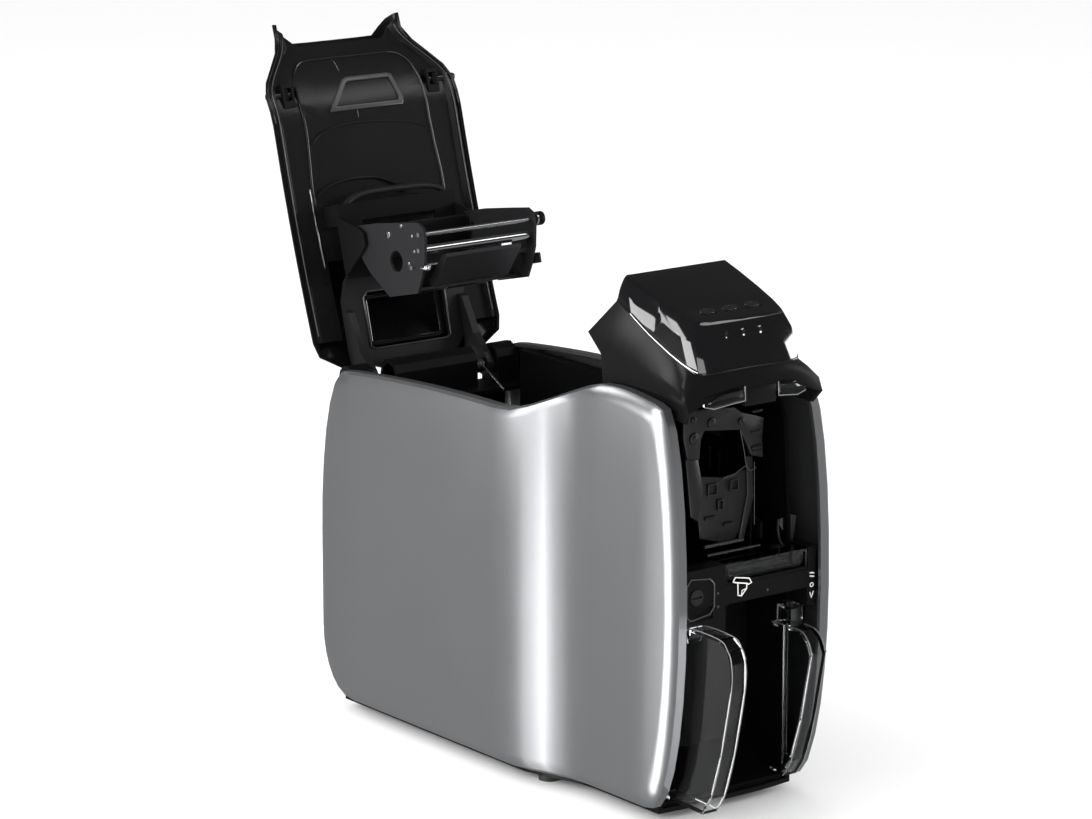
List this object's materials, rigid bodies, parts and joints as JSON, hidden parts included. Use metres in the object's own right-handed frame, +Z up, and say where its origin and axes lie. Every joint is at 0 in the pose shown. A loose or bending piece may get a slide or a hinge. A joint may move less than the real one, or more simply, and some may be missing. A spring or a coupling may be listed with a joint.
{
  "type": "card printer",
  "caption": "Desktop card printer with satin side panels, a lid holding the print head that stands open, a raised visor over the card hopper and clear output guards.",
  "frame": {"origin": "centre of the bottom of the overall box with the lid and the visor open, at desk level", "axes": "+X to the right seen from the front, +Y to the back, +Z up"},
  "size_m": [0.16, 0.4873, 0.4467],
  "materials": {
    "side_metal": "satin silver",
    "skirt_satin": "satin black",
    "frame_metal": "dark satin",
    "steel": "bright",
    "chrome": "polished",
    "gloss_black": "glossy",
    "liner_black": "moulded satin",
    "body_black": "fine texture",
    "smoked_clear": "clear smoked",
    "clear": "clear",
    "light_lens": "clear lens",
    "button_grey": "satin",
    "rubber": "matt",
    "gear_plastic": "satin",
    "brass": "machined",
    "motor_metal": "satin",
    "board_green": "solder mask",
    "supply_metal": "sheet"
  },
  "bodies": {
    "chassis": {"base_tray": "body_black", "rubber_feet": "rubber", "left_side_panel": "side_metal", "right_side_panel": "side_metal", "rear_panel": "body_black", "left_frame": "body_black", "right_frame": "body_black", "divider_wall": "body_black", "card_guide": "body_black", "nose_cover": "body_black", "hopper_left_wall": "body_black", "hopper_right_wall": "body_black", "hopper_floor": "body_black", "hopper_bracket": "body_black", "front_bezel": "body_black", "slot_light_bar": "smoked_clear", "output_tray": "body_black", "left_output_guard": "clear", "right_output_guard": "clear", "power_inlet": "body_black", "usb_socket": "steel", "main_board": "board_green", "power_supply": "supply_metal", "feed_motor": "motor_metal", "drive_belt": "rubber", "ribbon_motor": "motor_metal", "lid_hinge_pins": "steel", "lid_spring": "steel"},
    "lid": {"lid_shell": "gloss_black", "lid_liner": "liner_black", "lid_hinge_frame": "frame_metal", "head_bracket": "body_black"},
    "head": {"head_cradle": "frame_metal", "print_head": "supply_metal", "head_rods": "steel"},
    "peel": {"peel_roller": "chrome"},
    "latch_l": {"left_latch": "chrome"},
    "latch_r": {"right_latch": "chrome"},
    "visor": {"visor_cap": "gloss_black", "visor_skirt": "skirt_satin", "visor_lip": "smoked_clear", "status_lights": "light_lens"},
    "key_left": {"button_left": "button_grey"},
    "key_middle": {"button_middle": "button_grey"},
    "key_right": {"button_right": "button_grey"},
    "motor_rotor": {"motor_pinion": "brass"},
    "idler": {"idler_gear": "gear_plastic"},
    "platen": {"platen_roller": "rubber", "platen_gear": "gear_plastic"},
    "feed": {"feed_roller": "rubber", "feed_gear": "gear_plastic"},
    "exit": {"exit_roller": "rubber"},
    "pick": {"pick_roller": "rubber"},
    "ribbon_rotor": {"ribbon_pinion": "brass"},
    "takeup": {"takeup_spindle": "gear_plastic", "takeup_gear": "gear_plastic"},
    "supply": {"supply_spindle": "gear_plastic"},
    "weight": {"card_weight": "body_black"},
    "switch": {"power_switch": "body_black"},
    "lock": {"lock_screw": "chrome"}
  },
  "joints": [
    {"name": "lid_hinge", "type": "hinge", "parent": "chassis", "child": "lid", "pos_m": [0, 0.1287, 0.22], "axis": [1, 0, 0], "range_deg": [0, 105]},
    {"name": "head_float", "type": "hinge", "parent": "lid", "child": "head", "pos_m": [0, 0.13854, 0.31468], "axis": [1, 0, 0], "range_deg": [0, 3], "stiffness_Nm_per_rad": 6},
    {"name": "peel_spin", "type": "hinge", "parent": "head", "child": "peel", "pos_m": [0, 0.07648, 0.31681], "axis": [1, 0, 0], "continuous": true},
    {"name": "left_latch_slide", "type": "slide", "parent": "lid", "child": "latch_l", "axis": [1, 0, 0], "range_m": [0, 0.002], "stiffness_N_per_m": 400},
    {"name": "right_latch_slide", "type": "slide", "parent": "lid", "child": "latch_r", "axis": [-1, 0, 0], "range_m": [0, 0.002], "stiffness_N_per_m": 400},
    {"name": "visor_hinge", "type": "hinge", "parent": "chassis", "child": "visor", "pos_m": [0, -0.1013, 0.212], "axis": [1, 0, 0], "range_deg": [0, 49]},
    {"name": "button_left_press", "type": "slide", "parent": "visor", "child": "key_left", "axis": [0, 0.3176, -0.9482], "range_m": [0, 0.001], "stiffness_N_per_m": 500},
    {"name": "button_middle_press", "type": "slide", "parent": "visor", "child": "key_middle", "axis": [0, 0.3176, -0.9482], "range_m": [0, 0.001], "stiffness_N_per_m": 500},
    {"name": "button_right_press", "type": "slide", "parent": "visor", "child": "key_right", "axis": [0, 0.3176, -0.9482], "range_m": [0, 0.001], "stiffness_N_per_m": 500},
    {"name": "platen_spin", "type": "hinge", "parent": "chassis", "child": "platen", "pos_m": [0, 0.0527, 0.127], "axis": [1, 0, 0], "continuous": true},
    {"name": "motor_spin", "type": "hinge", "parent": "chassis", "child": "motor_rotor", "pos_m": [0, 0.0227, 0.103], "axis": [1, 0, 0], "continuous": true},
    {"name": "idler_spin", "type": "hinge", "parent": "chassis", "child": "idler", "pos_m": [0, 0.0227, 0.127], "axis": [1, 0, 0], "continuous": true},
    {"name": "feed_spin", "type": "hinge", "parent": "chassis", "child": "feed", "pos_m": [0, -0.0073, 0.127], "axis": [1, 0, 0], "continuous": true},
    {"name": "exit_spin", "type": "hinge", "parent": "chassis", "child": "exit", "pos_m": [0, -0.1413, 0.127], "axis": [1, 0, 0], "continuous": true},
    {"name": "pick_spin", "type": "hinge", "parent": "chassis", "child": "pick", "pos_m": [0, -0.1033, 0.144], "axis": [1, 0, 0], "continuous": true},
    {"name": "takeup_spin", "type": "hinge", "parent": "chassis", "child": "takeup", "pos_m": [0, -0.0263, 0.168], "axis": [1, 0, 0], "continuous": true},
    {"name": "ribbon_motor_spin", "type": "hinge", "parent": "chassis", "child": "ribbon_rotor", "pos_m": [0, -0.0473, 0.168], "axis": [1, 0, 0], "continuous": true},
    {"name": "supply_spin", "type": "hinge", "parent": "chassis", "child": "supply", "pos_m": [0, 0.0967, 0.168], "axis": [1, 0, 0], "continuous": true},
    {"name": "weight_swing", "type": "hinge", "parent": "chassis", "child": "weight", "pos_m": [0, -0.0913, 0.185], "axis": [1, 0, 0], "range_deg": [-4, 6]},
    {"name": "power_rocker", "type": "hinge", "parent": "chassis", "child": "switch", "pos_m": [-0.012, 0.1347, 0.04], "axis": [1, 0, 0], "range_deg": [0, 12]},
    {"name": "lock_turn", "type": "hinge", "parent": "chassis", "child": "lock", "pos_m": [-0.042, -0.2013, 0.146], "axis": [0, -1, 0], "range_deg": [0, 90]}
  ],
  "couplings": [
    {"joint": "idler_spin", "follows": "platen_spin", "ratio": -0.66667},
    {"joint": "feed_spin", "follows": "platen_spin", "ratio": 1},
    {"joint": "motor_spin", "follows": "platen_spin", "ratio": 2},
    {"joint": "exit_spin", "follows": "platen_spin", "ratio": 1},
    {"joint": "pick_spin", "follows": "platen_spin", "ratio": 1},
    {"joint": "ribbon_motor_spin", "follows": "takeup_spin", "ratio": -2.5}
  ]
}
